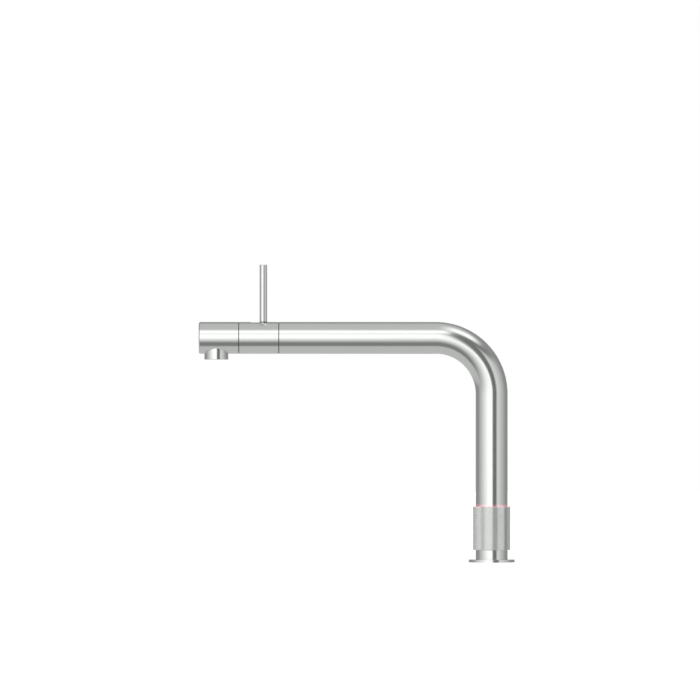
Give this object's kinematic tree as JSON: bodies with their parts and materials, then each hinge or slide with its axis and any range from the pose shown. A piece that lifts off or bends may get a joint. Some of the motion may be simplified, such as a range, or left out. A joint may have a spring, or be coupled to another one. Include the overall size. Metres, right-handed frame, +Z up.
{
  "type": "boiling water tap",
  "caption": "Kitchen tap in satin steel: L-shaped swivel spout with a lever mixer near its end and a knurled push-and-turn ring with a light on its foot.",
  "frame": {"origin": "centre of the flange's underside, on the deck and on the column's axis", "axes": "+Z up along the column, -X along the spout's arm towards the outlet, the picture looks along +Y"},
  "size_m": [0.3168, 0.048, 0.3595],
  "materials": {
    "satin_steel": "satin polished stainless steel",
    "knurled_steel": "fine diamond knurl, satin",
    "plain_steel": "plain turned or drawn steel",
    "brass": "machined",
    "rubber": "moulded, matt",
    "dark_plastic": "moulded, matt",
    "pale_plastic": "moulded acetal",
    "hose": "smooth extruded",
    "ceramic": "lapped",
    "circuit_board": "varnished",
    "light": "frosted clear, lit red"
  },
  "bodies": {
    "base": {"base_flange": "satin_steel", "deck_gasket": "rubber", "base_column": "satin_steel", "threaded_shank": "brass", "rubber_washer": "rubber", "clamp_washer": "plain_steel", "fixing_nut": "brass", "port_plate": "brass", "port_gasket": "rubber", "inlet_manifold": "brass", "manifold_seal": "rubber", "cable_grommet": "rubber", "sensor_board": "circuit_board", "column_clip": "plain_steel", "light_board": "circuit_board", "light_emitters": "light", "light_ring": "light", "swivel_seal": "rubber", "push_spring": "plain_steel"},
    "push_carriage": {"push_carriage": "pale_plastic", "carriage_clip": "plain_steel", "ring_stop_pin": "plain_steel"},
    "control_ring": {"control_ring": "knurled_steel", "ring_liner": "pale_plastic", "ring_magnets": "plain_steel"},
    "spout": {"spout_tube": "satin_steel", "lower_swivel_bush": "pale_plastic", "upper_swivel_bush": "pale_plastic", "rear_glide_ring": "dark_plastic", "front_glide_ring": "dark_plastic", "mixer_core": "brass", "drag_ring": "rubber", "nozzle_seal": "rubber", "cartridge_base": "pale_plastic", "port_seals": "rubber", "cartridge_housing": "pale_plastic", "cartridge_cap": "pale_plastic", "ball_seal": "rubber", "fixed_disc": "ceramic", "nozzle_body": "satin_steel", "outlet_block": "dark_plastic", "aerator_housing": "dark_plastic", "aerator_seal": "rubber", "aerator_mesh": "plain_steel", "boiling_jet": "plain_steel", "boiling_hose": "hose", "hot_hose": "hose", "cold_hose": "hose"},
    "mixer_sleeve": {"mixer_sleeve": "satin_steel"},
    "lever": {"lever_ball": "plain_steel", "dust_dome": "dark_plastic", "lever_rod": "satin_steel"},
    "cross_slide": {"cross_slide": "pale_plastic"},
    "mixing_disc": {"moving_disc": "ceramic", "disc_driver": "pale_plastic"}
  },
  "joints": [
    {"name": "spout_swivel", "type": "hinge", "parent": "base", "child": "spout", "pos_m": [0, 0, 0.05], "axis": [0, 0, 1], "range_deg": [-150, 150], "deforming": ["boiling_hose", "hot_hose", "cold_hose"]},
    {"name": "ring_push", "type": "slide", "parent": "base", "child": "push_carriage", "axis": [0, 0, -1], "range_m": [0, 0.0045], "stiffness_N_per_m": 1500, "springref_m": -0.006, "deforming": ["push_spring"]},
    {"name": "ring_turn", "type": "hinge", "parent": "push_carriage", "child": "control_ring", "pos_m": [0, 0, 0.034], "axis": [0, 0, 1], "range_deg": [0, 90]},
    {"name": "sleeve_turn", "type": "hinge", "parent": "spout", "child": "mixer_sleeve", "pos_m": [-0.2328, 0, 0.2243], "axis": [1, 0, 0], "range_deg": [-25, 25]},
    {"name": "lever_tilt", "type": "hinge", "parent": "mixer_sleeve", "child": "lever", "pos_m": [-0.2283, 0, 0.2243], "axis": [0, -1, 0], "range_deg": [0, 30]},
    {"name": "flow_slide", "type": "slide", "parent": "spout", "child": "cross_slide", "axis": [1, 0, 0], "range_m": [0, 0.00315]},
    {"name": "mix_slide", "type": "slide", "parent": "cross_slide", "child": "mixing_disc", "axis": [0, 1, 0], "range_m": [-0.00266, 0.00266]}
  ],
  "couplings": [
    {"joint": "flow_slide", "follows": "lever_tilt", "m_per_rad": 0.0059721},
    {"joint": "mix_slide", "follows": "sleeve_turn", "m_per_rad": 0.0060573}
  ]
}
